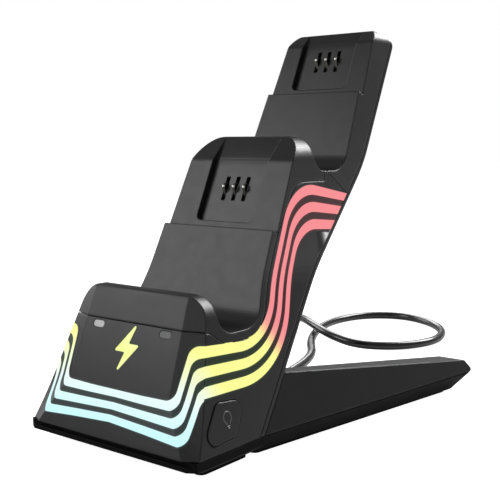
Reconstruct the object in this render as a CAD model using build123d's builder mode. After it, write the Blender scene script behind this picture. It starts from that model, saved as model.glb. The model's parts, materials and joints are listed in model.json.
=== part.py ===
"""Two-bay charging dock for game controllers.

A stepped tower leans back over two splayed legs. Each bay is a trough, a backrest panel and a recessed
contact window. Three light bands run round the nose and up both sides. +Z is up and -Y is the front.
Lengths are millimetres. Stations are measured from the front edge of the base, and every piece is moved
at the end so that the origin lies under the middle of the footprint.
"""

import os
from math import atan, atan2, cos, degrees, hypot, pi, radians, sin, tan

from build123d import *

# Driving dimensions: tower
seam_z = 11.0  # seam between the shell and the floor covers
wall = 2.6  # shell thickness
base_half = 52.0  # half width of the shell at the seam
waist_half = 36.3  # half width where the flare ends
waist_z = 76.4
top_half = 28.2  # half width at the top
top_z = 203.0
waist_radius = 80.0
front_lean = 20.5  # degrees from upright
bay_lean = 24.5
back_lean = 43.9
knee_y = 161.5  # bend in the back
knee_z = 129.1
knee_radius = 80.0
top_depth = 16.5  # thickness of the tower's top
facet_low = (48.0, 0.6)  # nose bevel: half width where it starts, depth per unit of width
facet_middle = (31.2, 0.3)
facet_high = (28.3, 0.36)
facet_middle_z = 33.0

# Driving dimensions: one bay, lower bay's stations
bay_rise = 68.65  # from the lower bay to the upper one
bay_run = 83.2
crest_z = 75.0  # top of the lip in front of the trough
crest_back = 30.7
crest_radius = 3.0
crest_corner = 14.0  # rounded corners of the lip seen from the front
trough_z = 57.5
trough_front_radius = 9.0
trough_back_radius = 14.0
panel_top_y = 76.8
panel_top_z = 99.4
panel_step = 3.7  # the contact face lies this far behind the panel
bend_z = 131.8  # where the contact face bends back
bend_radius = 8.0
top_bevel = 6.8  # bevel above the upper contact face: height and depth
top_bevel_run = 7.6
upper_corner = 8.0

# Driving dimensions: contacts
contact_z = 117.4  # middle of the slots
carrier_seat = 0.25  # carrier plate behind the cradle's inner face
contact_pitch = 6.5
slot_length = 12.8
slot_width = 2.3
window_half = 18.0
window_below = 18.6  # window's edge below the middle of the slots
window_radius = 3.0
window_reach = 60.0  # cutter, open at its top
carrier_thick = 2.2
carrier_lap = 2.5
leaf_thick = 0.5
leaf_width = 1.6
leaf_root = (-9.4, -3.0)  # along the window and out of it
leaf_knee_y = -5.2
leaf_crown = (-0.4, 1.0)
leaf_end = (2.6, 0.6)
leaf_bends = [1.0, 0.5, 0.5]
holder_depth = 2.4
tip_rise = 3.0  # contact tip above the window's floor
tip_radius = 0.95
board_thick = 1.6
board_drop = 5.0  # board below the window's floor
board_shift = -2.0
board_peg = (13.0, 8.0)
board_margin = 2.5  # board beyond the pegs
peg_radius = 1.6

# Driving dimensions: seams and bands
nose_seam_z = 60.0
cradle_skin = 4.0  # cradle moulding seen from the side
cradle_end_y = 122.5
cradle_bends = [0, 8, 12, 18, 40, 14, 0, 0, 0]
nose_seam_run = 5.0
skin_margin = 2.0
shelf_drop = 5.0  # cradle's shelf below the upper trough
shelf_run = 17.0
upper_seam_rise = 1.5
upper_seam_fall = 0.67  # per unit of depth
band_depth = 1.6
band_share = 0.224  # width of one band as a share of the fan of three
upper_side_rail = [(160, 110.9), (94.4, 122.7), (62.4, 51.6), (19.6, 55.0), (-20, 55.0)]
lower_side_rail = [(160, 94.0), (99.2, 98.4), (71.0, 33.2), (13.6, 34.4), (-20, 34.4)]
side_rail_radii = ((25, 28, 60), (19, 46, 60))
upper_front_rail = [(70, 55.0), (41.6, 55.0), (35.2, 54.4), (33.7, 32.2), (16, 31.8), (0, 31.8)]
lower_front_rail = [(70, 34.4), (46.5, 34.4), (45.4, 31.0), (44.8, 15.6), (22, 17.2), (0, 18.4)]
front_rail_radii = ((3, 4.5, 4.5, 30), (3, 3, 4.0, 30))
crease_low = (13.4, 34.4)
crease_high = (20.4, 55.0)
fit = 0.1  # gap round trim that sits in the shell
seam_gap = 0.35  # shut line between two mouldings
run_gap = 0.3  # gap round a piece that moves

# Driving dimensions: trim and button
status_x = 20.9
status_z = 57.6
status_length = 6.6
status_width = 3.0
emblem_z = 49.5
bolt_corners = [(3.9, 12.6), (-7.3, -2.0), (-0.7, -2.0), (-3.9, -12.6), (7.3, 2.0), (0.7, 2.0)]
bolt_radius = 0.6
lens_flange = 1.0
lens_lap = 1.5  # flange beyond the lens's outline
button_y = 25.6
button_z = 22.4
button_corners = [(-19.5, -8.5), (3.4, -7.2), (12.9, 7.2), (-5.6, 9.2)]
button_radius = 4.5
button_proud = 0.4
button_travel = 0.6
button_flange = 1.0
button_lap = 1.5  # flange beyond the button's outline
button_stem_radius = 2.0
button_stem = 4.2
switch_size = 6.0
switch_thick = 4.4
plunger_radius = 1.7
plunger_length = 1.2

# Driving dimensions: lamp boards
side_lamp_y = 46.0
side_lamp_z = 41.0
side_lamp_length = 34.0
side_lamp_height = 13.0
nose_lamp_z = 24.0
nose_lamp_length = 46.0
nose_lamp_height = 11.0

# Driving dimensions: base and legs
foot_height = 1.8
lip_height = 4.2
groove_height = 1.9  # shadow groove under the nose
groove_depth = 1.6
lip_corner = (4.0, 2.4)
floor_corner = 2.0
leg_top_z = 34.4  # leg's top where it meets the back
leg_top_y = 70.3
leg_end_top_z = 17.5
leg_end_top_y = 209.0
leg_tip_y = 214.0
leg_tip_x = 76.0
leg_width = 18.0
leg_corner = (1.2, 5.0)
leg_inner_undercut = 1.0
leg_side_lean = 0.385  # inward per unit of height
undercut = 7.5
front_undercut = 14.0
tip_undercut = 8.0
foot_width = 6.0
foot_inset = 1.0
screw_radius = 1.3
screw_head_radius = 2.6
screw_head = 1.6
screw_sink = 0.4  # head below the cover's face
board_screw_length = 7.0
leg_screw_length = 9.0
leg_screw_shares = (0.3, 0.8)  # along the leg
leg_foot_shares = (0.02, 0.92)
post_radius = 2.6
post_x = 33.0
post_y = (17.0, 40.0)
ballast_thick = 4.0
main_board_z = 16.4
main_board_half = 38.8
main_board_y = 28.0
main_board_depth = 30.0
main_board_corner = 2.0

# Driving dimensions: cord
cord_diameter = 5.6
exit_z = 6.0
relief_length = 16.0
relief_radius = 4.6
coil_mid_radius = 30.0
coil_band = 17.2  # radial width of the wound turns
coil_height = 11.4
relief_lip = 0.6  # the relief's and the grip's ends stand this much outside the cord
coil_centre = (-135.55, 265.47)
tie_thick = 0.8
tie_arc = 18.0
plug_turn = 200.0  # where the cord leaves the coil, degrees
grip_neck = 8.0
grip_length = 21.0
grip_width = 15.6
grip_height = 7.8
grip_corner = 2.0
neck_inset = (1.0, 5.0)
shell_length = 18.8
shell_width = 12.0
shell_height = 4.5
shell_sheet = 0.3
shell_corner = 0.5
tongue_thick = 1.9
tongue_back = 1.0
tail_length = 30.0
cord_clear = 5.9  # air between the two runs where the cord crosses itself
tail_drop = 0.55  # share of the drop by the tail's middle
bend_share = 0.45  # run beside a corner that its bend may take

# Route of the cord, front stations, from beyond the relief's tip to the coil
lie = cord_diameter / 2
over = lie + cord_diameter + cord_clear
cord_route = [
    (0, 84, exit_z),
    (-4, 110, lie + 0.8),
    (-12, 140, lie),
    (-22, 168, lie),
    (-29, 196, lie),
    (-40, 222, lie),
    (-58, 246, lie),
    (-72, 270, lie),
    (-80, 298, lie),
    (-87, 328, lie),
    (-82, 358, lie),
    (-58, 375, lie),
    (-29, 366, lie),
    (-6, 344, lie),
    (6, 315, lie),
    (3, 290, lie),
    (-9, 269, lie + 0.4),
    (-29, 261, lie + 2.0),
    (-50, 267, lie + 6.0),
    (-68, 280, over),
    (-88, 297, over),
    (-111, 313, lie + 5.0),
    (-134, 320, lie + tie_thick + 1.0),
    (-155, 312, lie + tie_thick),
    (-166, 292, lie + tie_thick),
    (-168, 280.6, lie + tie_thick),
]

# Derived stations
front_slope = tan(radians(front_lean))
bay_slope = tan(radians(bay_lean))
back_slope = tan(radians(back_lean))
flare = (base_half - waist_half) / (waist_z - seam_z)
taper = (waist_half - top_half) / (top_z - waist_z)
bay_out = (0, -cos(radians(bay_lean)), sin(radians(bay_lean)))
depth = leg_tip_y
far = 2 * depth
trim_run = 30.0  # reach of the cutters that round the lips
trim_behind = 8.0
trim_below = 10.0


def front_y(z):
    """Station of the leaning front face at a height."""
    return (z - seam_z) * front_slope


def back_y(z):
    """Station of the lower back face at a height."""
    return knee_y - (knee_z - z) * back_slope


def half_width(z):
    """Half width of the tower at a height."""
    if z < waist_z:
        return waist_half + (waist_z - z) * flare
    return waist_half - (z - waist_z) * taper


def face_y(z):
    """Station of the lower bay's contact face at a height."""
    return panel_top_y + (z - panel_top_z) * bay_slope + panel_step / cos(radians(bay_lean))


contact_y = face_y(contact_z) + (wall + carrier_seat) / cos(radians(bay_lean))
upper_bend_z = top_z - top_bevel
top_front_y = face_y(upper_bend_z - bay_rise) + bay_run + top_bevel_run


def side_outline(foot):
    """Corners and corner radii of the tower seen from the side, front foot first, back foot last."""
    step_z = panel_top_z - panel_step * sin(radians(bay_lean))
    points = [(front_y(foot), foot)]
    radii = [0]
    for bay, bend in enumerate((bend_z, upper_bend_z)):
        run = bay * bay_run
        rise = bay * bay_rise
        trough_back = panel_top_y - (panel_top_z - trough_z) * bay_slope
        points += [
            (front_y(crest_z) + run, crest_z + rise),
            (crest_back + run, crest_z + rise),
            (crest_back + run, trough_z + rise),
            (trough_back + run, trough_z + rise),
            (panel_top_y + run, panel_top_z + rise),
            (face_y(step_z) + run, step_z + rise),
            (face_y(bend - rise) + run, bend),
        ]
        radii += [crest_radius, crest_radius, trough_front_radius, trough_back_radius, 0, 0, bend_radius]
    top_back_y = top_front_y + top_depth * cos(radians(bay_lean))
    top_back_z = top_z - top_depth * sin(radians(bay_lean))
    points += [(top_front_y, top_z), (top_back_y, top_back_z), (knee_y, knee_z), (back_y(foot), foot)]
    radii += [crest_radius, crest_radius, knee_radius, 0]
    return points, radii


def facet_cutter(setback):
    """Wedges that bevel the nose's two upright corners: a loft of three plan sections."""
    heights = (seam_z - 2 * wall, facet_middle_z, crest_z + trim_behind)
    with BuildPart() as wedge:
        for z, (crease, slope) in zip(heights, (facet_low, facet_middle, facet_high)):
            face = front_y(z) + setback
            with BuildSketch(Plane.XY.offset(z)):
                with BuildLine():
                    Polyline(
                        (crease - trim_below, face - trim_below * slope),
                        (far, face + (far - crease) * slope),
                        (far, -far),
                        (crease - trim_below, -far),
                        close=True,
                    )
                make_face()
        loft(ruled=True)
        mirror(about=Plane.YZ)
    return wedge.part


def crest_trim(crest, corner, y_from, y_to, inset):
    """Rounds the upper corners of one lip, seen from the front, between two stations."""
    low = crest - corner - trim_below
    floor = low - trim_below
    with BuildPart() as trim:
        with BuildSketch(Plane.XZ.offset(-y_from)):
            with Locations((0, crest)):
                Rectangle(4 * base_half, 2 * corner + trim_below)
            with BuildLine():
                FilletPolyline(
                    (-half_width(low) + inset, floor),
                    (-half_width(low) + inset, low),
                    (-half_width(crest) + inset, crest - inset),
                    (half_width(crest) - inset, crest - inset),
                    (half_width(low) - inset, low),
                    (half_width(low) - inset, floor),
                    radius=[0, corner - inset, corner - inset, 0],
                    close=False,
                )
                Line((half_width(low) - inset, floor), (-half_width(low) + inset, floor))
            make_face(mode=Mode.SUBTRACT)
        extrude(amount=y_from - y_to)
    return trim.part


def tower_form(inset, foot):
    """Whole tower, shrunk by an inset on every face: side outline crossed with front outline."""
    points, radii = side_outline(foot)
    with BuildPart() as form:
        with BuildSketch(Plane.YZ):
            with BuildLine():
                FilletPolyline(*points, radius=radii, close=True)
            make_face()
            if inset:
                offset(amount=-inset, kind=Kind.INTERSECTION)
        extrude(amount=2 * base_half, both=True)
        peak = top_z + top_depth
        with BuildSketch(Plane.XZ):
            with BuildLine():
                FilletPolyline(
                    (-half_width(foot), foot),
                    (half_width(foot), foot),
                    (waist_half, waist_z),
                    (half_width(peak), peak),
                    (-half_width(peak), peak),
                    (-waist_half, waist_z),
                    radius=[0, 0, waist_radius, 0, 0, waist_radius],
                    close=True,
                )
            make_face()
            if inset:
                offset(amount=-inset, kind=Kind.INTERSECTION)
        extrude(amount=2 * depth, both=True, mode=Mode.INTERSECT)
        add(facet_cutter(inset), mode=Mode.SUBTRACT)
        for bay in (0, 1):
            crest = crest_z + bay * bay_rise
            back = crest_back + bay * bay_run
            lip = crest_trim(crest, crest_corner, back - trim_run, back + trim_behind, inset)
            add(lip, mode=Mode.SUBTRACT)
        add(crest_trim(top_z, upper_corner, top_front_y - trim_run, depth, inset), mode=Mode.SUBTRACT)
    return form.part


def side_region(points, radii, inset=0.0):
    """Prism across the whole width from an outline seen from the side, shrunk by an inset."""
    with BuildPart() as region:
        with BuildSketch(Plane.YZ):
            with BuildLine():
                FilletPolyline(*points, radius=radii, close=True)
            make_face()
            if inset:
                offset(amount=-inset, kind=Kind.INTERSECTION)
        extrude(amount=2 * base_half, both=True)
    return region.part


# Regions that split the tower into its mouldings
skin_y = cradle_skin / cos(radians(bay_lean))
skin_low_y = panel_top_y - (panel_top_z - trough_z + cradle_skin) * bay_slope + skin_y
skin_high_z = panel_top_z - skin_margin
skin_high_y = panel_top_y - skin_margin * bay_slope + skin_y
cradle_shelf_z = trough_z + bay_rise - shelf_drop
lower_outline = (
    [
        (-far, nose_seam_z),
        (front_y(nose_seam_z) + nose_seam_run, nose_seam_z),
        (crest_back + skin_margin, trough_z - cradle_skin),
        (skin_low_y, trough_z - cradle_skin),
        (skin_high_y, skin_high_z),
        (skin_high_y + shelf_run, cradle_shelf_z),
        (cradle_end_y, cradle_shelf_z),
        (cradle_end_y, far),
        (-far, far),
    ],
    cradle_bends,
)
upper_low_z = trough_z + bay_rise + upper_seam_rise
upper_outline = (
    [
        (cradle_end_y, upper_low_z),
        (cradle_end_y, far),
        (far, far),
        (far, upper_low_z - (far - cradle_end_y) * upper_seam_fall),
    ],
    [0, 0, 0, 0],
)
cover_low = wall / cos(radians(back_lean))
upper_back_slope = (top_front_y + top_depth * cos(radians(bay_lean)) - knee_y) / (
    top_z - top_depth * sin(radians(bay_lean)) - knee_z
)
cover_high = wall * hypot(1, upper_back_slope)
cover_knee = (cover_low - cover_high) / (back_slope - upper_back_slope)
back_outline = (
    [
        (back_y(-far) - cover_low, -far),
        (knee_y - cover_high + cover_knee * upper_back_slope, knee_z + cover_knee),
        (knee_y - cover_high + (far - knee_z) * upper_back_slope, far),
        (2 * far, far),
        (2 * far, -far),
    ],
    [0, knee_radius, 0, 0, 0],
)

# Tower as a closed skin, before it is split
outside = tower_form(0, seam_z)
inside = tower_form(wall, seam_z - 3 * wall)
band_floor = tower_form(band_depth, seam_z - 3 * wall)


def bay_plane(bay):
    """Floor of a contact window: x across, y up the backrest, z out towards the controller."""
    origin = (0, contact_y + bay * bay_run, contact_z + bay * bay_rise)
    return Plane(origin=origin, x_dir=(1, 0, 0), z_dir=bay_out)


def front_plane(z):
    """Plane in the leaning front face with its origin at a height."""
    lean = radians(front_lean)
    return Plane(origin=(0, front_y(z), z), x_dir=(1, 0, 0), z_dir=(0, -cos(lean), sin(lean)))


def window_cut(bay):
    """Recess of a contact window, open at its top where the face bends back."""
    with BuildPart() as cut:
        with BuildSketch(bay_plane(bay)):
            with Locations((0, window_reach / 2 - window_below)):
                RectangleRounded(2 * window_half, window_reach, window_radius)
        extrude(amount=wall + 2 * panel_step)
    return cut.part


with BuildPart() as lower_cradle:
    add(outside)
    add(inside, mode=Mode.SUBTRACT)
    add(side_region(*lower_outline, seam_gap), mode=Mode.INTERSECT)
    add(window_cut(0), mode=Mode.SUBTRACT)

with BuildPart() as upper_cradle:
    add(outside)
    add(inside, mode=Mode.SUBTRACT)
    add(side_region(*upper_outline, seam_gap), mode=Mode.INTERSECT)
    add(side_region(*back_outline), mode=Mode.SUBTRACT)
    add(window_cut(1), mode=Mode.SUBTRACT)

with BuildPart() as back_cover:
    add(outside)
    add(side_region(*back_outline, seam_gap), mode=Mode.INTERSECT)

with BuildPart() as housing_blank:
    add(outside)
    add(inside, mode=Mode.SUBTRACT)
    for outline in (lower_outline, upper_outline, back_outline):
        add(side_region(*outline), mode=Mode.SUBTRACT)

# Light bands: six edges fan between an upper and a lower rail
band_gap = (1 - 3 * band_share) / 2


def rail(upper, lower, radii, share):
    """Edge of a band at a share of the way from the upper rail to the lower one."""
    points = [Vector(a) * (1 - share) + Vector(b) * share for a, b in zip(upper, lower)]
    bends = [a * (1 - share) + b * share for a, b in zip(*radii)]
    return points, bends


def band_prism(plane, rails, radii, share, length):
    """Prism between two neighbouring edges of the fan."""
    first, first_bends = rail(*rails, radii, share)
    last, last_bends = rail(*rails, radii, share + band_share)
    with BuildPart() as prism:
        with BuildSketch(plane):
            with BuildLine():
                FilletPolyline(*first, radius=first_bends)
                FilletPolyline(*last, radius=last_bends)
                Line(first[0], last[0])
                Line(first[-1], last[-1])
            make_face()
        extrude(amount=length)
    return prism.part


def nose_side(front):
    """Space ahead of, or behind, the crease between the nose's bevel and the tower's side."""
    slope = (crease_high[0] - crease_low[0]) / (crease_high[1] - crease_low[1])
    low = (crease_low[0] - far * slope, crease_low[1] - far)
    high = (crease_high[0] + far * slope, crease_high[1] + far)
    edge = -far if front else 2 * far
    return side_region([low, high, (edge, high[1]), (edge, low[1])], [0, 0, 0, 0])


bands = []
side_rails = (upper_side_rail, lower_side_rail)
front_rails = (upper_front_rail, lower_front_rail)
ahead = nose_side(True)
behind = nose_side(False)
for row, place in enumerate(("upper", "middle", "lower")):
    share = row * (band_share + band_gap)
    with BuildPart() as side_run:
        add(band_prism(Plane.YZ, side_rails, side_rail_radii, share, far))
        add(behind, mode=Mode.INTERSECT)
    with BuildPart() as front_run:
        add(band_prism(Plane.XZ.offset(-depth), front_rails, front_rail_radii, share, far))
        add(ahead, mode=Mode.INTERSECT)
    with BuildPart() as run:
        add(side_run.part)
        add(front_run.part)
        mirror(about=Plane.YZ)
    with BuildPart() as band:
        add(housing_blank.part)
        add(run.part, mode=Mode.INTERSECT)
        add(band_floor, mode=Mode.SUBTRACT)
    band.part.label = f"{place}_light_band"
    bands.append(band.part)

# Status lights and the lit emblem on the nose
with BuildPart() as status_holes:
    with BuildSketch(front_plane(status_z)):
        with Locations((-status_x, 0), (status_x, 0)):
            SlotOverall(status_length + 2 * fit, status_width + 2 * fit)
    extrude(amount=wall * 2, both=True)

status_lights = []
for side, place in ((-1, "left"), (1, "right")):
    with BuildPart() as light:
        with BuildSketch(front_plane(status_z)):
            with Locations((side * status_x, 0)):
                SlotOverall(status_length, status_width)
        extrude(amount=-wall - lens_flange)
        with BuildSketch(front_plane(status_z).offset(-wall - lens_flange)):
            with Locations((side * status_x, 0)):
                SlotOverall(status_length + 2 * lens_lap, status_width + 2 * lens_lap)
        extrude(amount=lens_flange)
    light.part.label = f"{place}_status_light"
    status_lights.append(light.part)


def bolt_outline(grow):
    """Plain charging bolt about the origin, slim zigzag of six corners."""
    with BuildSketch() as bolt:
        with BuildLine():
            Polyline(*bolt_corners, close=True)
        make_face()
        fillet(bolt.vertices(), radius=bolt_radius)
        if grow:
            offset(amount=grow)
    return bolt.sketch


with BuildPart() as emblem_hole:
    with BuildSketch(front_plane(emblem_z)):
        add(bolt_outline(fit))
    extrude(amount=wall * 2, both=True)

with BuildPart() as emblem_lens:
    with BuildSketch(front_plane(emblem_z)):
        add(bolt_outline(0))
    extrude(amount=-wall - lens_flange)
    with BuildSketch(front_plane(emblem_z).offset(-wall - lens_flange)):
        add(bolt_outline(lens_lap))
    extrude(amount=lens_flange)

# Mode button on the right side, square to the flared wall
side_out = (cos(atan(flare)), 0, sin(atan(flare)))
button_plane = Plane(origin=(half_width(button_z), button_y, button_z), x_dir=(0, 1, 0), z_dir=side_out)


def button_outline(grow):
    """Leaning rounded outline of the button about its middle."""
    with BuildSketch() as outline:
        with BuildLine():
            FilletPolyline(*button_corners, radius=button_radius, close=True)
        make_face()
        if grow:
            offset(amount=grow)
    return outline.sketch


with BuildPart() as button_hole:
    with BuildSketch(button_plane):
        add(button_outline(run_gap))
    extrude(amount=2 * wall, both=True)

flange_seat = -wall - run_gap / 2
with BuildPart() as mode_button:
    with BuildSketch(button_plane.offset(flange_seat)):
        add(button_outline(button_lap))
    extrude(amount=button_flange, dir=-button_plane.z_dir)
    with BuildSketch(button_plane.offset(flange_seat)):
        add(button_outline(0))
    extrude(amount=button_proud - flange_seat, dir=button_plane.z_dir)
    with BuildSketch(button_plane.offset(flange_seat - button_flange)):
        Circle(button_stem_radius)
    extrude(amount=-button_stem)

with BuildPart() as main_housing:
    add(housing_blank.part)
    for piece in bands:
        add(piece, mode=Mode.SUBTRACT)
    add(status_holes.part, mode=Mode.SUBTRACT)
    add(emblem_hole.part, mode=Mode.SUBTRACT)
    add(button_hole.part, mode=Mode.SUBTRACT)

# Contact modules, one for each bay
peg_places = [(sx * board_peg[0], sy * board_peg[1] + board_shift) for sx in (-1, 1) for sy in (-1, 1)]
slot_places = [(n * contact_pitch, 0) for n in (-1, 0, 1)]
board_width = 2 * (board_peg[0] + board_margin)
board_height = 2 * (board_peg[1] + board_margin)


def leaf_contact(plane, x):
    """Bent spring leaf: lies along the board, turns out through its slot and ends in a round tip."""
    edge = plane.from_local_coords((x - leaf_width / 2, 0, 0))
    crown = tip_rise - tip_radius
    with BuildPart() as leaf:
        with BuildSketch(Plane(origin=edge, x_dir=plane.y_dir, z_dir=plane.x_dir)):
            with BuildLine():
                FilletPolyline(
                    leaf_root,
                    (leaf_knee_y, leaf_root[1]),
                    (leaf_crown[0], crown),
                    (leaf_crown[1], crown),
                    leaf_end,
                    radius=leaf_bends,
                )
            trace(line_width=leaf_thick)
        extrude(amount=leaf_width)
        with Locations(Location(plane.from_local_coords((x, sum(leaf_crown) / 2, crown)))):
            Sphere(tip_radius)
    return leaf.part


def contact_module(bay, name, cradle):
    """Carrier plate, contact board, leaf holder and three leaves behind one cradle's window."""
    plane = bay_plane(bay)
    bend = (bend_z, upper_bend_z)[bay]
    bend_point = Vector(0, face_y(bend - bay * bay_rise) + bay * bay_run, bend)
    top = plane.to_local_coords(bend_point).Y + carrier_lap
    bottom = -window_below - carrier_lap
    with BuildPart() as carrier:
        with BuildSketch(plane):
            with Locations((0, (top + bottom) / 2)):
                RectangleRounded(2 * (window_half + carrier_lap), top - bottom, carrier_lap)
            with Locations(*slot_places):
                Rectangle(slot_width, slot_length, mode=Mode.SUBTRACT)
        extrude(amount=-carrier_thick)
        add(cradle, mode=Mode.SUBTRACT)
        with BuildSketch(plane.offset(-carrier_thick)):
            with Locations(*peg_places):
                Circle(peg_radius)
        extrude(amount=carrier_thick - board_drop)
    with BuildPart() as board:
        with BuildSketch(plane.offset(-board_drop)):
            with Locations((0, board_shift)):
                RectangleRounded(board_width, board_height, board_margin)
        extrude(amount=-board_thick)
    with BuildPart() as holder:
        with BuildSketch(plane.offset(-board_drop)):
            with Locations((0, leaf_root[0] - holder_depth / 4)):
                Rectangle(2 * (contact_pitch + slot_width), holder_depth)
        extrude(amount=board_drop + leaf_root[1] - leaf_thick / 2 - run_gap)
    carrier.part.label = f"{name}_contact_carrier"
    board.part.label = f"{name}_contact_board"
    holder.part.label = f"{name}_leaf_holder"
    module = [carrier.part, board.part, holder.part]
    for n, place in ((-1, "left"), (0, "middle"), (1, "right")):
        leaf = leaf_contact(plane, n * contact_pitch)
        leaf.label = f"{name}_{place}_contact"
        module.append(leaf)
    return module


modules = contact_module(0, "lower", lower_cradle.part)
modules += contact_module(1, "upper", upper_cradle.part)


# Boards with the lamps behind the bands, flat on the shell's inner faces
def lamp_board(plane, width, height):
    """Thin board lying on a wall's inner face."""
    with BuildPart() as board:
        with BuildSketch(plane.offset(-wall)):
            RectangleRounded(width, height, board_thick)
        extrude(amount=-board_thick)
    return board.part


side_lamp_origin = (half_width(side_lamp_z), side_lamp_y, side_lamp_z)
side_lamp_plane = Plane(origin=side_lamp_origin, x_dir=(0, 1, 0), z_dir=side_out)
right_lamp_board = lamp_board(side_lamp_plane, side_lamp_length, side_lamp_height)
nose_lamp_board = lamp_board(front_plane(nose_lamp_z), nose_lamp_length, nose_lamp_height)

# Floor cover under the tower, with posts for the main board
rear_y = back_y(seam_z)
lip_plan = [
    (base_half - lip_corner[0], 0),
    (base_half, lip_corner[1]),
    (base_half, rear_y),
    (-base_half, rear_y),
    (-base_half, lip_corner[1]),
    (-base_half + lip_corner[0], 0),
]
floor_half = base_half - undercut
floor_plan = [
    (floor_half - floor_corner, front_undercut),
    (floor_half, front_undercut + floor_corner),
    (floor_half, rear_y),
    (-floor_half, rear_y),
    (-floor_half, front_undercut + floor_corner),
    (-floor_half + floor_corner, front_undercut),
]
post_places = [(side * post_x, y) for side in (-1, 1) for y in post_y]


def polygon(plane, points):
    """Face with straight sides on a plane."""
    with BuildSketch(plane) as sketch:
        with BuildLine():
            Polyline(*points, close=True)
        make_face()
    return sketch.sketch


lip_low_z = seam_z - lip_height
tray_front_y = front_undercut + 2 * wall
tray_depth = rear_y - wall - tray_front_y
with BuildPart() as floor_taper:
    add(polygon(Plane.XY.offset(foot_height), floor_plan))
    add(polygon(Plane.XY.offset(lip_low_z), lip_plan))
    loft(ruled=True)

with BuildPart() as floor_cover:
    add(polygon(Plane.XY.offset(lip_low_z), lip_plan))
    extrude(amount=lip_height - seam_gap)
    with BuildSketch(Plane.XY.offset(seam_z - groove_height)):
        with Locations((0, groove_depth)):
            Rectangle(far, far, align=(Align.CENTER, Align.MAX))
    extrude(amount=groove_height, mode=Mode.SUBTRACT)
    add(floor_taper.part)
    with BuildSketch(Plane.XY.offset(foot_height + wall)):
        with Locations((0, tray_front_y + tray_depth / 2)):
            RectangleRounded(2 * (floor_half - wall), tray_depth, wall)
    extrude(amount=far, mode=Mode.SUBTRACT)
    with BuildSketch(Plane.XY.offset(foot_height + wall)):
        with Locations(*post_places):
            Circle(post_radius)
    extrude(amount=main_board_z - foot_height - wall)
    with Locations(*[(x, y, main_board_z) for x, y in post_places]):
        Hole(screw_radius, depth=board_screw_length)
    with BuildSketch(Plane.XZ.offset(-rear_y)):
        with Locations((0, exit_z)):
            Circle(relief_radius)
    extrude(amount=2 * wall, both=True, mode=Mode.SUBTRACT)

# Steel plate that weights the base, between the posts
with BuildPart() as ballast_plate:
    with BuildSketch(Plane.XY.offset(foot_height + wall)):
        with Locations((0, tray_front_y + tray_depth / 2)):
            RectangleRounded(2 * (post_x - post_radius - foot_inset), tray_depth - foot_inset, wall)
    extrude(amount=ballast_thick)

# Main board with its screws and the button's switch
with BuildPart() as main_board:
    with BuildSketch(Plane.XY.offset(main_board_z)):
        with Locations((0, main_board_y)):
            RectangleRounded(2 * main_board_half, main_board_depth, main_board_corner)
        with Locations(*post_places):
            Circle(screw_radius + fit, mode=Mode.SUBTRACT)
    extrude(amount=board_thick)

board_top_z = main_board_z + board_thick
with BuildPart() as board_screws:
    with Locations(*[(x, y, board_top_z) for x, y in post_places]):
        Cylinder(screw_head_radius, screw_head, align=(Align.CENTER, Align.CENTER, Align.MIN))
        Cylinder(
            screw_radius,
            board_screw_length + board_thick,
            align=(Align.CENTER, Align.CENTER, Align.MAX),
        )

stem_tip = button_plane.from_local_coords((0, 0, flange_seat - button_flange - button_stem))
switch_x = stem_tip.X - button_travel - 2 * run_gap - plunger_length
with BuildPart() as mode_switch:
    with Locations((switch_x, button_y, board_top_z)):
        Box(switch_thick, switch_size, switch_size, align=(Align.MAX, Align.CENTER, Align.MIN))
    with Locations(Location((switch_x, button_y, stem_tip.Z), (0, 90, 0))):
        Cylinder(plunger_radius, plunger_length, align=(Align.CENTER, Align.CENTER, Align.MIN))

# Legs: a wedge on each side, its front end lying on the tower's back
leg_run = leg_tip_y - rear_y
leg_rise = leg_tip_x - base_half
leg_plan = [
    (base_half, rear_y),
    (leg_tip_x, leg_tip_y - leg_corner[1]),
    (leg_tip_x - leg_corner[0], leg_tip_y),
    (leg_tip_x - leg_width, leg_tip_y),
    (base_half - leg_width, rear_y),
]
leg_floor_tip_y = leg_tip_y - tip_undercut
leg_floor_plan = [
    (base_half - undercut, rear_y),
    (leg_tip_x - undercut, leg_floor_tip_y - leg_corner[1]),
    (leg_tip_x - undercut - leg_corner[0], leg_floor_tip_y),
    (leg_tip_x - leg_width + leg_inner_undercut, leg_floor_tip_y),
    (base_half - leg_width + leg_inner_undercut, rear_y),
]
leg_foot_x = base_half - undercut - foot_width / 2 - foot_inset
leg_screw_places = [(leg_foot_x + leg_rise * t, rear_y + leg_run * t) for t in leg_screw_shares]
outer_side = Plane(
    origin=(base_half, rear_y, seam_z),
    z_dir=Vector(1, -leg_rise / leg_run, leg_side_lean).normalized(),
)
leg_top_slope = (leg_top_z - leg_end_top_z) / (leg_end_top_y - leg_top_y)
top_side = Plane(origin=(0, leg_top_y, leg_top_z), z_dir=Vector(0, leg_top_slope, 1).normalized())
back_side = Plane(origin=(0, rear_y, seam_z), z_dir=Vector(0, 1, -back_slope).normalized())
end_slope = (leg_tip_y - leg_end_top_y) / (leg_end_top_z - seam_z)
end_side = Plane(origin=(0, leg_tip_y, seam_z), z_dir=Vector(0, 1, end_slope).normalized())
leg_head_z = foot_height + screw_head

with BuildPart() as right_leg:
    add(polygon(Plane.XY.offset(seam_z), leg_plan))
    extrude(amount=top_z)
    split(bisect_by=outer_side, keep=Keep.BOTTOM)
    split(bisect_by=top_side, keep=Keep.BOTTOM)
    split(bisect_by=end_side, keep=Keep.BOTTOM)
    split(bisect_by=back_side.offset(seam_gap), keep=Keep.TOP)
    with Locations(*[(x, y, seam_z) for x, y in leg_screw_places]):
        Cylinder(screw_radius + fit / 2, 2 * leg_screw_length, mode=Mode.SUBTRACT)

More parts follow.
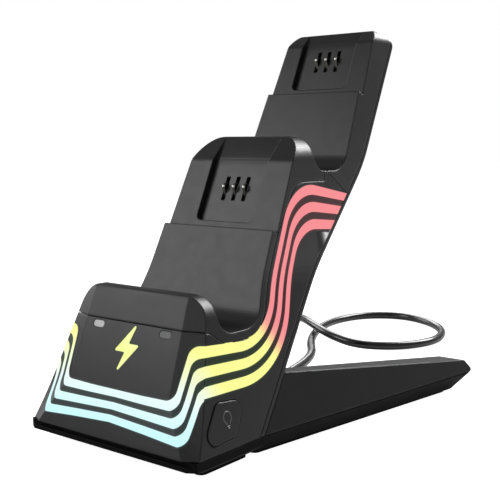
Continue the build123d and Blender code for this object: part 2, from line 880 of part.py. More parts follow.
with BuildPart() as right_leg_cover:
    add(polygon(Plane.XY.offset(foot_height), leg_floor_plan))
    add(polygon(Plane.XY.offset(seam_z), leg_plan))
    loft(ruled=True)
    split(bisect_by=Plane.XY.offset(seam_z - seam_gap), keep=Keep.BOTTOM)
    with Locations(*[(x, y, foot_height) for x, y in leg_screw_places]):
        Cylinder(screw_head_radius + fit, 2 * screw_head, mode=Mode.SUBTRACT)
        Cylinder(screw_radius + fit, 4 * seam_z, mode=Mode.SUBTRACT)

with BuildPart() as leg_screws:
    with Locations(*[(x, y, leg_head_z) for x, y in leg_screw_places]):
        Cylinder(screw_head_radius, screw_head - screw_sink, align=(Align.CENTER, Align.CENTER, Align.MAX))
        Cylinder(
            screw_radius,
            seam_z - leg_head_z + leg_screw_length - 2 * screw_sink,
            align=(Align.CENTER, Align.CENTER, Align.MIN),
        )
    mirror(about=Plane.YZ)

with BuildPart() as left_leg:
    add(mirror(right_leg.part, about=Plane.YZ))

with BuildPart() as left_leg_cover:
    add(mirror(right_leg_cover.part, about=Plane.YZ))


# Rubber strips that the dock stands on
def foot_strip(start, end):
    """Round-ended strip on the floor between two points."""
    run = Vector(*end) - Vector(*start)
    with BuildPart() as strip:
        with BuildSketch():
            with Locations(Location(Vector(*start) + run * 0.5, (0, 0, degrees(atan2(run.Y, run.X))))):
                SlotOverall(run.length, foot_width)
        extrude(amount=foot_height)
    return strip.part


foot_x = floor_half - foot_width / 2 - foot_inset
leg_foot = [(leg_foot_x + leg_rise * t, rear_y + leg_run * t) for t in leg_foot_shares]
feet = {
    "front_foot": foot_strip((foot_x, front_undercut + foot_inset), (foot_x, rear_y - foot_inset)),
    "leg_foot": foot_strip(*leg_foot),
}

# Cord, its relief, coil, tie and plug
with BuildPart() as strain_relief:
    with BuildSketch(Plane.XZ.offset(wall - rear_y)):
        with Locations((0, exit_z)):
            Circle(relief_radius)
    extrude(amount=-wall)
    with BuildSketch(Plane.XZ.offset(-rear_y)):
        with Locations((0, exit_z)):
            Circle(relief_radius)
    with BuildSketch(Plane.XZ.offset(-rear_y - relief_length)):
        with Locations((0, exit_z)):
            Circle(cord_diameter / 2 + relief_lip)
    loft()


def cord_radii(points):
    """Bend radius at each corner: as large as the shorter run beside it allows."""
    bends = []
    for a, b, c in zip(points, points[1:], points[2:]):
        before = Vector(b) - Vector(a)
        after = Vector(c) - Vector(b)
        half_turn = radians(before.get_angle(after)) / 2
        bends.append(bend_share * min(before.length, after.length) / tan(half_turn))
    return bends


cord_points = [(0, rear_y + relief_length, exit_z)] + cord_route
bends = cord_radii(cord_points)
print("cord bend radii", [round(r, 1) for r in bends])
with BuildPart() as cord:
    with BuildLine() as path:
        FilletPolyline(*cord_points, radius=bends)
    with BuildSketch(Plane(origin=path.line @ 0, z_dir=path.line % 0)):
        Circle(cord_diameter / 2)
    sweep()
tube_length = sum(edge.length for edge in path.edges())
section = pi * cord_diameter**2 / 4
print("cord tube length", round(tube_length, 1))
print("cord volume over section times length", round(cord.part.volume / tube_length / section, 4))

coil_plane = Plane(origin=(*coil_centre, tie_thick))
with BuildPart() as cord_coil:
    with BuildSketch(Plane(origin=coil_plane.origin, x_dir=(1, 0, 0), z_dir=(0, -1, 0))):
        with Locations((coil_mid_radius, coil_height / 2)):
            RectangleRounded(coil_band, coil_height, cord_diameter / 2)
    revolve(axis=Axis(coil_plane.origin, (0, 0, 1)))

with BuildPart() as cord_tie:
    with BuildSketch(Plane(origin=coil_plane.origin, x_dir=(1, 0, 0), z_dir=(0, -1, 0))):
        with Locations((coil_mid_radius, coil_height / 2)):
            RectangleRounded(coil_band + 2 * tie_thick, coil_height + 2 * tie_thick, lie + tie_thick)
    revolve(axis=Axis(coil_plane.origin, (0, 0, 1)), revolution_arc=tie_arc)
    add(cord_coil.part, mode=Mode.SUBTRACT)

# Tail of the cord, which leaves the outer upper turn and comes down to the plug
outer_turn = coil_mid_radius + (coil_band - cord_diameter) / 2
tail_start = Vector(outer_turn, 0, 0).rotate(Axis.Z, plug_turn)
tail_start += Vector(*coil_centre, tie_thick + coil_height - lie)
tail_axis = Vector(0, 1, 0).rotate(Axis.Z, plug_turn)
tail_points = [
    tail_start,
    tail_start + tail_axis * tail_length / 2 + Vector(0, 0, -tail_drop * (tail_start.Z - grip_height / 2)),
    Vector(tail_start.X, tail_start.Y, grip_height / 2) + tail_axis * tail_length,
]
tail_bends = cord_radii(tail_points)
print("tail bend radii", [round(r, 1) for r in tail_bends])
with BuildPart() as cord_tail:
    with BuildLine() as tail_path:
        FilletPolyline(*tail_points, radius=tail_bends)
    with BuildSketch(Plane(origin=tail_path.line @ 0, z_dir=tail_path.line % 0)):
        Circle(cord_diameter / 2)
    sweep()

# Plug beside the coil: moulded grip on the cord's end, steel shell and its tongue
plug_plane = Plane(origin=tail_points[-1], x_dir=(0, 0, 1), z_dir=tail_axis)
with BuildPart() as plug_grip:
    with BuildSketch(plug_plane):
        Circle(cord_diameter / 2 + relief_lip)
    with BuildSketch(plug_plane.offset(grip_neck)):
        RectangleRounded(grip_height - neck_inset[0], grip_width - neck_inset[1], grip_corner)
    loft()
    with BuildSketch(plug_plane.offset(grip_neck)):
        RectangleRounded(grip_height, grip_width, grip_corner)
    extrude(amount=grip_length)

with BuildPart() as plug_shell:
    with BuildSketch(plug_plane.offset(grip_neck + grip_length)):
        RectangleRounded(shell_height, shell_width, shell_corner)
        Rectangle(shell_height - 2 * shell_sheet, shell_width - 2 * shell_sheet, mode=Mode.SUBTRACT)
    extrude(amount=shell_length)

with BuildPart() as plug_tongue:
    with BuildSketch(plug_plane.offset(grip_neck + grip_length)):
        with Locations((-shell_height / 2 + shell_sheet + tongue_thick / 2, 0)):
            Rectangle(tongue_thick, shell_width - 2 * shell_sheet)
    extrude(amount=shell_length - tongue_back)

pieces = {
    "main_housing": main_housing.part,
    "lower_cradle": lower_cradle.part,
    "upper_cradle": upper_cradle.part,
    "back_cover": back_cover.part,
    "emblem_lens": emblem_lens.part,
    "mode_button": mode_button.part,
    "floor_cover": floor_cover.part,
    "ballast_plate": ballast_plate.part,
    "main_board": main_board.part,
    "board_screws": board_screws.part,
    "mode_switch": mode_switch.part,
    "right_leg": right_leg.part,
    "left_leg": left_leg.part,
    "right_leg_cover": right_leg_cover.part,
    "left_leg_cover": left_leg_cover.part,
    "leg_screws": leg_screws.part,
    "strain_relief": strain_relief.part,
    "cord": cord.part,
    "cord_coil": cord_coil.part,
    "cord_tail": cord_tail.part,
    "cord_tie": cord_tie.part,
    "plug_grip": plug_grip.part,
    "plug_shell": plug_shell.part,
    "plug_tongue": plug_tongue.part,
}
pieces["nose_lamp_board"] = nose_lamp_board
pieces["right_lamp_board"] = right_lamp_board
pieces["left_lamp_board"] = mirror(right_lamp_board, about=Plane.YZ)
for piece in bands + status_lights + modules:
    pieces[piece.label] = piece
for name, piece in feet.items():
    pieces["right_" + name] = piece
    pieces["left_" + name] = mirror(piece, about=Plane.YZ)

# Every piece moves so that the origin lies under the middle of the footprint
os.makedirs("parts", exist_ok=True)
for name, piece in pieces.items():
    moved = piece.moved(Location((0, -depth / 2, 0)))
    moved.label = name
    export_step(moved, f"parts/{name}.step")
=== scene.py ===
"""Looks of a two-bay charging dock for game controllers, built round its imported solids.

Lengths are metres in the dock's own frame: +Z up, the nose towards -Y, the origin under the footprint.
Stations in the band rails are millimetres back from the base's front edge, as the solids have them.
"""

import json
import math

import bmesh
import bpy
import numpy as np
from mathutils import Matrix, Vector


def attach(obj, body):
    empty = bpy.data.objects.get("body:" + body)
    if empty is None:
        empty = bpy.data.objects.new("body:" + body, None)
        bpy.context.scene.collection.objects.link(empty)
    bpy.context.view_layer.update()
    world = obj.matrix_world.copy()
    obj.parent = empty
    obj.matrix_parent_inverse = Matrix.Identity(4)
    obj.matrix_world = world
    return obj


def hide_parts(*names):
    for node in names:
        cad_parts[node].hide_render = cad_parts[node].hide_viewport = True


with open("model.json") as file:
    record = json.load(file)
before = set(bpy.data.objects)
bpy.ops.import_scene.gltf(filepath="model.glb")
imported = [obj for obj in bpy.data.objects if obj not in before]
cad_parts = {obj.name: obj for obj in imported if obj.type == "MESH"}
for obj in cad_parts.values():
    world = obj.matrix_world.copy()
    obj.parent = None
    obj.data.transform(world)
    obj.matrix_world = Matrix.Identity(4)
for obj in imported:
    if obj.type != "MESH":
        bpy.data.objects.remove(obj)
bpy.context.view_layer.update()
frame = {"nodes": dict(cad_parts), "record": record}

MM = 0.001
FRONT = -107.0  # the base's front edge, millimetres in the dock's frame

# Camera: place, heading from the dock's front, tilt and lens of a 36 mm wide square frame
CAMERA_PLACE = (0.2856, -0.3688, 0.1398)
CAMERA_HEADING = 38.0
CAMERA_TILT = 6.72
CAMERA_LENS = 64.8

# Stage: soft boxes as (name, place, size, power), all turned to the dock's middle
STAGE_HALF = 6.0
STAGE_CENTRE = (0.0, 0.0, 0.1)
SOFT_BOXES = [
    ("front box", (-0.80, -0.84, 0.72), 0.70, 5.5),
    ("edge box", (0.22, 1.10, 1.05), 0.70, 24.0),
    ("left box", (-1.30, 0.20, 0.45), 0.70, 4.0),
    ("nose box", (0.05, -1.40, 0.60), 0.60, 1.2),
]
LEAD_BOX = ("lead box", (-0.75, 1.00, 0.75), 0.80, 10.0)  # lights the lead alone
SURROUND_FILL = 0.28  # how bright the surround is to everything but the camera
FLOOR_GLOW = 0.97
# Painted shade: the floor's glow in reflections is dimmed close to the dock, where its shadow falls
SHADED_NEAR_GLOW = 0.22  # floor's glow in reflections close to the dock
GLOW_REACH = (0.5, 2.6)  # distances between which it grows to the full glow

# Tower faces, millimetres: the flared sides, their waist, the leaning front and the nose's bevels
SEAM_Z = 11.0
BASE_HALF = 52.0
WAIST_HALF = 36.3
WAIST_Z = 76.4
TOP_HALF = 28.2
TOP_Z = 203.0
WAIST_RADIUS = 80.0
FRONT_LEAN = 20.5
FACET_HEIGHTS = (5.8, 33.0, 83.0)
FACET_CREASES = (48.0, 31.2, 28.3)
FACET_SLOPES = (0.6, 0.3, 0.36)
FACET_LEAD = 10.0
FACET_REACH = 428.0

# Light bands: rails of the fan, from back to front on the side and from the corner to the middle in front
UPPER_SIDE_RAIL = [(160, 110.9), (94.4, 122.7), (62.4, 51.6), (19.6, 55.0), (-20, 55.0)]
LOWER_SIDE_RAIL = [(160, 94.0), (99.2, 98.4), (71.0, 33.2), (13.6, 34.4), (-20, 34.4)]
SIDE_RADII = ((25, 28, 60), (19, 46, 60))
UPPER_FRONT_RAIL = [(70, 55.0), (41.6, 55.0), (35.2, 54.4), (33.7, 32.2), (16, 31.8), (0, 31.8)]
LOWER_FRONT_RAIL = [(70, 34.4), (46.5, 34.4), (45.4, 31.0), (44.8, 15.6), (22, 17.2), (0, 18.4)]
FRONT_RADII = ((3, 4.5, 4.5, 30), (3, 3, 4.0, 30))
BAND_SHARE = 0.224
GAP_SHARE = 0.164
EDGE_POINTS = 900  # points along an edge of the fan, and rows and columns of the strips between edges
SIDE_ROWS = 140
FRONT_ROWS = 181
BOLT_ROWS = 241
STRIP_COLUMNS = 5

# Colour along the bands, metres: where it starts to change, and how fast, by height and by station
FOOT_Z = 0.018
CLIMB_RATE = 9.8
FACE_STATION = 0.010
BACK_RATE = 20.0
BEND_Z = 0.055
BEND_STATION = 0.055
BEND_SLANT = 0.8
BEND_RATE = 25.0

# Where the bands' painted glow on the shell ends, millimetres
CREASE_LOW = (13.4, 34.4)
CREASE_HIGH = (20.4, 55.0)
COVER_EDGE = (157.9, 129.1, 0.9623)  # back cover's front edge: station and height of a point, run per rise
CRADLE_EDGE = (122.5, 127.65, 1.4925)  # upper cradle's lower edge, the same way but falling
HALO_LIFT = 0.06
HALO_SHY = 0.05  # how far the glow stops short of a crease
COVER_SHY = 0.6  # the same at the mouldings behind
HALO_MARGIN = 0.06  # glow outside the outer bands, as a share of the fan

# Mesh finish: reach of merged doubles in metres, and the turn in degrees past which an edge stays crisp
MERGE_REACH = 1e-6
SHARP_ANGLE = 32.0
CARVED_SHARP = 9.0  # on the carved mouldings, whose bevels are shallow

# Emblem: a plain charging bolt on the nose, with painted glow on the shell round it
EMBLEM_Z = 49.5
BOLT_CORNERS = [(3.9, 12.6), (-7.3, -2.0), (-0.7, -2.0), (-3.9, -12.6), (7.3, 2.0), (0.7, 2.0)]
BOLT_RADIUS = 0.6
BOLT_GLOW = 0.55  # width of the glow round it

# Contact windows: the lower bay's slots, the step to the upper bay, the recess and the contact tips
BAY_LEAN = 24.5
CONTACT_PLACE = (0.0, 92.2, 117.4)
BAY_STEP = (0.0, 83.2, 68.65)
CONTACT_PITCH = 6.5
WINDOW_HALF = 18.0
WINDOW_LOW = -18.6  # the recess's lower edge, up from the slots' middle
WINDOW_RADIUS = 3.0
WINDOW_TOP_RADIUS = 0.5
WINDOW_CUT_TOP = 8.0  # the housing lies behind the recess's lower part only
WINDOW_CUT_DEPTH = 6.0
BEND_FOOT = (15.2, 10.2)  # where each recess's floor bends back under the crest, up from the slots' middle
BEND_END = ((28.88, -2.27), (18.35, -1.12))  # where it runs out at the ridge, up and out
BEND_PAST = 2.0  # how far the cut goes on past the ridge, over the face and into the recess's sides
BEND_OVER = 5.0
BEND_BITE = 0.02
SEAM_REACH = (-3.4, 1.0)  # strip over the seam at the bend: from below it to past it, its lift and its root
SEAM_LIFT = 0.015
SEAM_ROOT = -0.3
BLOCK_FOOT = -22.77  # lower edge of the raised block round a window, and its face out of the recess's floor
BLOCK_FACE = 2.85
GAP_WIDTH = 0.7  # shadow gap along that edge
GAP_DEPTH = 0.9
GAP_HALF = 60.0  # past the cradle's sides
TIP_PLACE = (0.3, 2.05)  # along the window and out of it
TIP_RADIUS = 1.0
TIP_ROWS = 17
TIP_COLUMNS = 24
TIP_POLE = 0.02  # angle left open at each pole, which the caps close
TIP_WAIST = 0.25

# Mode button's face, and the sign on it
BUTTON_STATION = 25.6
BUTTON_Z = 22.4
BUTTON_PROUD = 0.4
BULB_RADIUS = 2.5
BULB_CENTRE = (-0.6, 1.9)
NECK_HALF = 0.95
NECK_LOW = -3.0  # the neck's end and the cap's bars, down from the bulb's middle
BAR_LOW = -3.8
TIP_LOW = -4.6
BULB_SWEEP = (-62, 242)  # the bulb's open ring, degrees
BULB_POINTS = 40
BAR_POINTS = 6
LINE_WIDTH = 0.6
LINE_HEIGHT = 0.25
LINE_COLUMNS = 9

# Moulded plastic: scale per metre and detail of its drift and sheen, swing of roughness, depth of grain
DRIFT = (28.0, 3.0)
SHEEN = (160.0, 2.0)
SHEEN_SWING = 0.05
GRAIN_DEPTH = 0.0002

# Lead: its sizes and its route from strain relief to coil, with the crossing laid as in the photograph
CORD_DIAMETER = 0.0056
CORD_EXIT = (0.0, -0.04315, 0.006)
CORD_ROUTE = [
    CORD_EXIT,
    (0.0, -0.023, 0.006),
    (-0.004, 0.003, 0.0036),
    (-0.012, 0.033, 0.0028),
    (-0.022, 0.061, 0.0028),
    (-0.029, 0.089, 0.0028),
    (-0.040, 0.115, 0.0028),
    (-0.058, 0.139, 0.0028),
    (-0.072, 0.163, 0.0028),
    (-0.084, 0.191, 0.0028),
    (-0.089, 0.222, 0.0028),
    (-0.082, 0.251, 0.0028),
    (-0.058, 0.268, 0.0028),
    (-0.029, 0.259, 0.0028),
    (-0.006, 0.237, 0.0028),
    (0.006, 0.208, 0.0028),
    (0.003, 0.183, 0.0028),
    (-0.009, 0.162, 0.0032),
    (-0.029, 0.150, 0.0040),
    (-0.050, 0.152, 0.0072),
    (-0.069, 0.162, 0.0096),
    (-0.091, 0.180, 0.0096),
    (-0.112, 0.198, 0.0066),
    (-0.134, 0.210, 0.0046),
    (-0.155, 0.205, 0.0036),
    (-0.166, 0.185, 0.0036),
]
COIL_CENTRE = (-0.13555, 0.15847)
COIL_OUTER = 0.0358  # radius of the outermost turn
COIL_STEP = 0.0058  # from one turn to the next
COIL_LOW = 0.0036  # height of the lower layer's middle
COIL_HIGH = 0.0094
COIL_IN = 155.0  # where the lead comes in and goes out, degrees
COIL_OUT = 200.0
COIL_TURNS = 4
COIL_RISE = (1.9, 2.2)  # turns between which the lead climbs to the upper layer
POINTS_PER_TURN = 16
TAIL_LENGTH = 0.030
TAIL_DROP = 0.55  # share of the drop by the tail's middle
PLUG_HEIGHT = 0.0039
PLUG_GRIP = 0.004  # lead inside the plug's grip


def linear(red, green, blue):
    """Linear colour of a screen colour given from 0 to 255."""
    shares = [value / 255 for value in (red, green, blue)]
    return tuple(((s + 0.055) / 1.055) ** 2.4 if s > 0.04045 else s / 12.92 for s in shares)


def add_object(name, data):
    """Put mesh or curve data into the scene as an object at the origin."""
    made = bpy.data.objects.new(name, data)
    bpy.context.scene.collection.objects.link(made)
    return made


def aim(obj, target):
    """Turn an object so that its -Z axis points at a target."""
    obj.rotation_euler = (Vector(target) - obj.location).to_track_quat("-Z", "Y").to_euler()


# Camera and stage
def make_camera():
    """Camera at the photograph's angle."""
    data = bpy.data.cameras.new("view")
    data.sensor_width = 36
    data.lens = CAMERA_LENS
    data.clip_start = 0.01
    camera = add_object("view", data)
    camera.location = CAMERA_PLACE
    heading = math.radians(CAMERA_HEADING)
    tilt = math.radians(CAMERA_TILT)
    level = Vector((-math.sin(heading), math.cos(heading), 0)) * math.cos(tilt)
    aim(camera, camera.location + level - Vector((0, 0, math.sin(tilt))))
    bpy.context.scene.camera = camera


def make_light(name, place, size, power):
    """Square soft light that points at the dock."""
    data = bpy.data.lights.new(name, "AREA")
    data.size = size
    data.energy = power
    light = add_object(name, data)
    light.location = place
    aim(light, STAGE_CENTRE)
    return light


def light_alone(piece):
    """Soft box behind the dock whose light falls on one piece and leaves the mouldings dark."""
    lit = bpy.data.collections.new("lit by the lead box")
    lit.objects.link(piece)
    make_light(*LEAD_BOX).light_linking.receiver_collection = lit


def make_floor():
    """Pale floor that glows evenly to the camera, glows in reflections with painted shade that dims it close
    to the dock, and takes shadows besides.
    """
    signs = [(-1, -1), (1, -1), (1, 1), (-1, 1)]
    mesh = bpy.data.meshes.new("floor")
    mesh.from_pydata([(x * STAGE_HALF, y * STAGE_HALF, 0) for x, y in signs], [], [(0, 1, 2, 3)])
    paper = bpy.data.materials.new("floor paper")
    paper.use_nodes = True
    tree = paper.node_tree
    shader = tree.nodes["Principled BSDF"]
    shader.inputs["Base Color"].default_value = (0.5, 0.5, 0.5, 1)
    shader.inputs["Roughness"].default_value = 1.0
    shader.inputs["Specular IOR Level"].default_value = 0.0
    shader.inputs["Emission Color"].default_value = (1, 1, 1, 1)
    path = tree.nodes.new("ShaderNodeLightPath")
    coords = tree.nodes.new("ShaderNodeTexCoord")
    reach = tree.nodes.new("ShaderNodeVectorMath")
    reach.operation = "LENGTH"
    tree.links.new(coords.outputs["Object"], reach.inputs[0])
    # Painted shade in reflections: the glow grows from dim near the dock to full further off
    shaded_mirror_glow = tree.nodes.new("ShaderNodeMapRange")
    shaded_mirror_glow.inputs["From Min"].default_value = GLOW_REACH[0]
    shaded_mirror_glow.inputs["From Max"].default_value = GLOW_REACH[1]
    shaded_mirror_glow.inputs["To Min"].default_value = SHADED_NEAR_GLOW
    shaded_mirror_glow.inputs["To Max"].default_value = FLOOR_GLOW
    tree.links.new(reach.outputs["Value"], shaded_mirror_glow.inputs["Value"])
    in_gloss = add_math(tree, "MULTIPLY", path.outputs["Is Glossy Ray"], shaded_mirror_glow.outputs["Result"])
    to_camera = add_math(tree, "MULTIPLY", path.outputs["Is Camera Ray"], FLOOR_GLOW)
    tree.links.new(add_math(tree, "ADD", in_gloss, to_camera), shader.inputs["Emission Strength"])
    mesh.materials.append(paper)
    add_object("floor", mesh)


def make_stage():
    """Floor, a surround that is white to the camera and dim to the rest, and soft boxes."""
    make_floor()
    world = bpy.data.worlds.new("surround")
    world.use_nodes = True
    tree = world.node_tree
    background = tree.nodes["Background"]
    background.inputs["Color"].default_value = (1, 1, 1, 1)
    path = tree.nodes.new("ShaderNodeLightPath")
    strength = tree.nodes.new("ShaderNodeMapRange")
    strength.inputs["To Min"].default_value = SURROUND_FILL
    strength.inputs["To Max"].default_value = 1.0
    tree.links.new(path.outputs["Is Camera Ray"], strength.inputs["Value"])
    tree.links.new(strength.outputs["Result"], background.inputs["Strength"])
    bpy.context.scene.world = world
    bpy.context.scene.view_settings.view_transform = "Standard"
    for name, place, size, power in SOFT_BOXES:
        make_light(name, place, size, power)


# Material helpers
def new_material(name):
    """Empty material with its shader, node tree and a texture coordinate node."""
    material = bpy.data.materials.new(name)
    material.use_nodes = True
    tree = material.node_tree
    shader = tree.nodes["Principled BSDF"]
    coords = tree.nodes.new("ShaderNodeTexCoord")
    return material, tree, shader, coords


def add_noise(tree, coords, scale, detail=2.0):
    """Noise on Object coordinates at a scale per metre."""
    noise = tree.nodes.new("ShaderNodeTexNoise")
    noise.inputs["Scale"].default_value = scale
    noise.inputs["Detail"].default_value = detail
    tree.links.new(coords.outputs["Object"], noise.inputs["Vector"])
    return noise


def add_range(tree, source, low, high):
    """Map a 0 to 1 output to another range."""
    node = tree.nodes.new("ShaderNodeMapRange")
    node.inputs["To Min"].default_value = low
    node.inputs["To Max"].default_value = high
    tree.links.new(source, node.inputs["Value"])
    return node.outputs["Result"]


def add_ramp(tree, source, stops):
    """Colour ramp from (place, linear colour) stops."""
    ramp = tree.nodes.new("ShaderNodeValToRGB")
    elements = ramp.color_ramp.elements
    while len(elements) < len(stops):
        elements.new(0.5)
    for element, (place, colour) in zip(elements, stops):
        element.position = place
        element.color = (*colour, 1)
    tree.links.new(source, ramp.inputs["Fac"])
    return ramp.outputs["Color"]


def add_math(tree, operation, first, second):
    """Math node between two sockets or numbers."""
    node = tree.nodes.new("ShaderNodeMath")
    node.operation = operation
    for socket, value in zip(node.inputs, (first, second)):
        if isinstance(value, (int, float)):
            socket.default_value = value
        else:
            tree.links.new(value, socket)
    return node.outputs["Value"]


def add_bump(tree, shader, height, strength, distance, bevel):
    """Fine relief from a height output, over edges eased by a small radius."""
    bump = tree.nodes.new("ShaderNodeBump")
    bump.inputs["Strength"].default_value = strength
    bump.inputs["Distance"].default_value = distance
    tree.links.new(height, bump.inputs["Height"])
    if bevel:
        eased = tree.nodes.new("ShaderNodeBevel")
        eased.inputs["Radius"].default_value = bevel
        tree.links.new(eased.outputs["Normal"], bump.inputs["Normal"])
    tree.links.new(bump.outputs["Normal"], shader.inputs["Normal"])


# Materials
def moulded_plastic(name, dark, light, rough, specular, grain=2600.0, relief=0.10, bevel=0.0006):
    """Moulded satin plastic: spark-eroded grain, slow tone drift and uneven sheen."""
    material, tree, shader, coords = new_material(name)
    fine = add_noise(tree, coords, grain, 1.0)
    slow = add_noise(tree, coords, *DRIFT)
    tone = add_ramp(tree, slow.outputs["Fac"], [(0.3, dark), (0.7, light)])
    tree.links.new(tone, shader.inputs["Base Color"])
    sheen = add_noise(tree, coords, *SHEEN)
    roughness = add_range(tree, sheen.outputs["Fac"], rough - SHEEN_SWING, rough + SHEEN_SWING)
    tree.links.new(roughness, shader.inputs["Roughness"])
    shader.inputs["Specular IOR Level"].default_value = specular
    add_bump(tree, shader, fine.outputs["Fac"], relief, GRAIN_DEPTH, bevel)
    return material


def band_run(tree, coords):
    """Place along the lit bands, from 0 at the nose's foot through 0.5 on the sides to 1 at the back.

    The first half grows with height over the foot and with distance back from the nose's face. The second
    half grows with distance back, plus part of the height, beyond the bend where the bands turn up.
    """
    split = tree.nodes.new("ShaderNodeSeparateXYZ")
    tree.links.new(coords.outputs["Object"], split.inputs["Vector"])
    station = add_math(tree, "SUBTRACT", split.outputs["Y"], FRONT * MM)
    climb = add_math(tree, "MULTIPLY", add_math(tree, "SUBTRACT", split.outputs["Z"], FOOT_Z), CLIMB_RATE)
    past_face = add_math(tree, "MAXIMUM", add_math(tree, "SUBTRACT", station, FACE_STATION), 0.0)
    first = add_math(tree, "ADD", climb, add_math(tree, "MULTIPLY", past_face, BACK_RATE))
    first = add_math(tree, "MINIMUM", add_math(tree, "MAXIMUM", first, 0.0), 0.5)
    height = add_math(tree, "MULTIPLY", add_math(tree, "SUBTRACT", split.outputs["Z"], BEND_Z), BEND_SLANT)
    past_bend = add_math(tree, "SUBTRACT", add_math(tree, "ADD", station, height), BEND_STATION)
    second = add_math(tree, "MULTIPLY", past_bend, BEND_RATE)
    second = add_math(tree, "MINIMUM", add_math(tree, "MAXIMUM", second, 0.0), 0.5)
    return add_math(tree, "ADD", first, second)


def lit_band():
    """Frosted light guide whose colour runs from ice at the nose's foot over yellow to pink at the back."""
    material, tree, shader, coords = new_material("lit band")
    glow = add_ramp(
        tree,
        band_run(tree, coords),
        [
            (0.0, linear(206, 254, 255)),
            (0.08, linear(224, 254, 255)),
            (0.15, linear(238, 255, 252)),
            (0.26, linear(243, 255, 224)),
            (0.38, linear(250, 255, 186)),
            (0.50, linear(254, 254, 152)),
            (0.58, linear(254, 238, 152)),
            (0.68, linear(252, 202, 150)),
            (0.80, linear(249, 160, 152)),
            (1.0, linear(248, 142, 147)),
        ],
    )
    frost = add_noise(tree, coords, 900.0, 2.0)
    tree.links.new(add_range(tree, frost.outputs["Fac"], 0.35, 0.5), shader.inputs["Roughness"])
    shader.inputs["Base Color"].default_value = (0.02, 0.02, 0.02, 1)
    shader.inputs["Specular IOR Level"].default_value = 0.1
    tree.links.new(glow, shader.inputs["Emission Color"])
    shader.inputs["Emission Strength"].default_value = 0.98
    return material


def painted_band_halo():
    """Shell plastic with painted glow from the bands beside it: an emission in the bands' colours that fades
    with the strip's own v coordinate.
    """
    material, tree, shader, coords = new_material("band painted halo")
    painted_glow = add_ramp(
        tree,
        band_run(tree, coords),
        [
            (0.0, linear(46, 62, 64)),
            (0.17, linear(40, 64, 56)),
            (0.30, linear(32, 60, 34)),
            (0.50, linear(30, 54, 20)),
            (0.64, linear(58, 36, 22)),
            (0.80, linear(78, 18, 20)),
            (1.0, linear(76, 18, 22)),
        ],
    )
    # Painted glow: the bands' colours as emission on the shell plastic beside them
    tree.links.new(painted_glow, shader.inputs["Emission Color"])
    split = tree.nodes.new("ShaderNodeSeparateXYZ")
    tree.links.new(coords.outputs["UV"], split.inputs["Vector"])
    tree.links.new(split.outputs["Y"], shader.inputs["Emission Strength"])
    slow = add_noise(tree, coords, *DRIFT)
    drift = add_ramp(tree, slow.outputs["Fac"], [(0.3, linear(21, 21, 22)), (0.7, linear(26, 26, 28))])
    tree.links.new(drift, shader.inputs["Base Color"])
    sheen = add_noise(tree, coords, *SHEEN)
    tree.links.new(add_range(tree, sheen.outputs["Fac"], 0.29, 0.39), shader.inputs["Roughness"])
    shader.inputs["Specular IOR Level"].default_value = 0.4
    return material


def lit_lens(name, middle, edge, strength, base):
    """Frosted lens with an uneven glow."""
    material, tree, shader, coords = new_material(name)
    cloud = add_noise(tree, coords, 120.0, 2.0)
    glow = add_ramp(tree, cloud.outputs["Fac"], [(0.35, edge), (0.65, middle)])
    tree.links.new(glow, shader.inputs["Emission Color"])
    shader.inputs["Emission Strength"].default_value = strength
    shader.inputs["Base Color"].default_value = (*base, 1)
    frost = add_noise(tree, coords, 1500.0, 1.0)
    tree.links.new(add_range(tree, frost.outputs["Fac"], 0.25, 0.4), shader.inputs["Roughness"])
    return material


def bright_metal(name, dark, light, rough):
    """Plated sheet metal: drawn streaks in tone and roughness."""
    material, tree, shader, coords = new_material(name)
    streak = add_noise(tree, coords, 700.0, 3.0)
    tone = add_ramp(tree, streak.outputs["Fac"], [(0.3, dark), (0.7, light)])
    tree.links.new(tone, shader.inputs["Base Color"])
    roughness = add_range(tree, streak.outputs["Fac"], rough - 0.06, rough + 0.08)
    tree.links.new(roughness, shader.inputs["Roughness"])
    shader.inputs["Metallic"].default_value = 1.0
    return material


def circuit_board():
    """Lacquered board: tracks as fine cells over a green ground."""
    material, tree, shader, coords = new_material("circuit board")
    cells = tree.nodes.new("ShaderNodeTexVoronoi")
    cells.feature = "DISTANCE_TO_EDGE"
    cells.inputs["Scale"].default_value = 260.0
    tree.links.new(coords.outputs["Object"], cells.inputs["Vector"])
    stops = [(0.02, linear(58, 116, 74)), (0.06, linear(16, 70, 44))]
    tree.links.new(add_ramp(tree, cells.outputs["Distance"], stops), shader.inputs["Base Color"])
    gloss = add_noise(tree, coords, 300.0, 2.0)
    tree.links.new(add_range(tree, gloss.outputs["Fac"], 0.25, 0.4), shader.inputs["Roughness"])
    return material


SHELL = moulded_plastic("charcoal shell", linear(21, 21, 22), linear(26, 26, 28), 0.34, 0.4, bevel=0.001)
CRADLE = moulded_plastic("charcoal cradle", linear(23, 23, 24), linear(28, 28, 29), 0.36, 0.42, bevel=0.001)
COVER = moulded_plastic("black cover", linear(11, 11, 12), linear(15, 15, 16), 0.55, 0.06)
CARRIER = moulded_plastic("contact carrier", linear(23, 23, 24), linear(28, 28, 29), 0.36, 0.45, relief=0.05)
RECESS = moulded_plastic(
    "recess floor", linear(23, 23, 24), linear(28, 28, 29), 0.36, 0.43, relief=0.05, bevel=0
)
RUBBER = moulded_plastic(
    "foot rubber", linear(18, 18, 18), linear(25, 25, 25), 0.85, 0.2, grain=1400.0, bevel=0.0003
)
JACKET = moulded_plastic(
    "lead jacket", linear(14, 14, 15), linear(19, 19, 20), 0.22, 0.6, grain=900.0, relief=0.05, bevel=0
)
# Sign lines: raised geometry in a light grey that is painted highlight on the mark's lit edges
PAINTED_HIGHLIGHT_SIGN = moulded_plastic(
    "sign painted highlight", linear(92, 92, 93), linear(112, 112, 113), 0.3, 0.4, relief=0.05, bevel=0
)
BAND = lit_band()
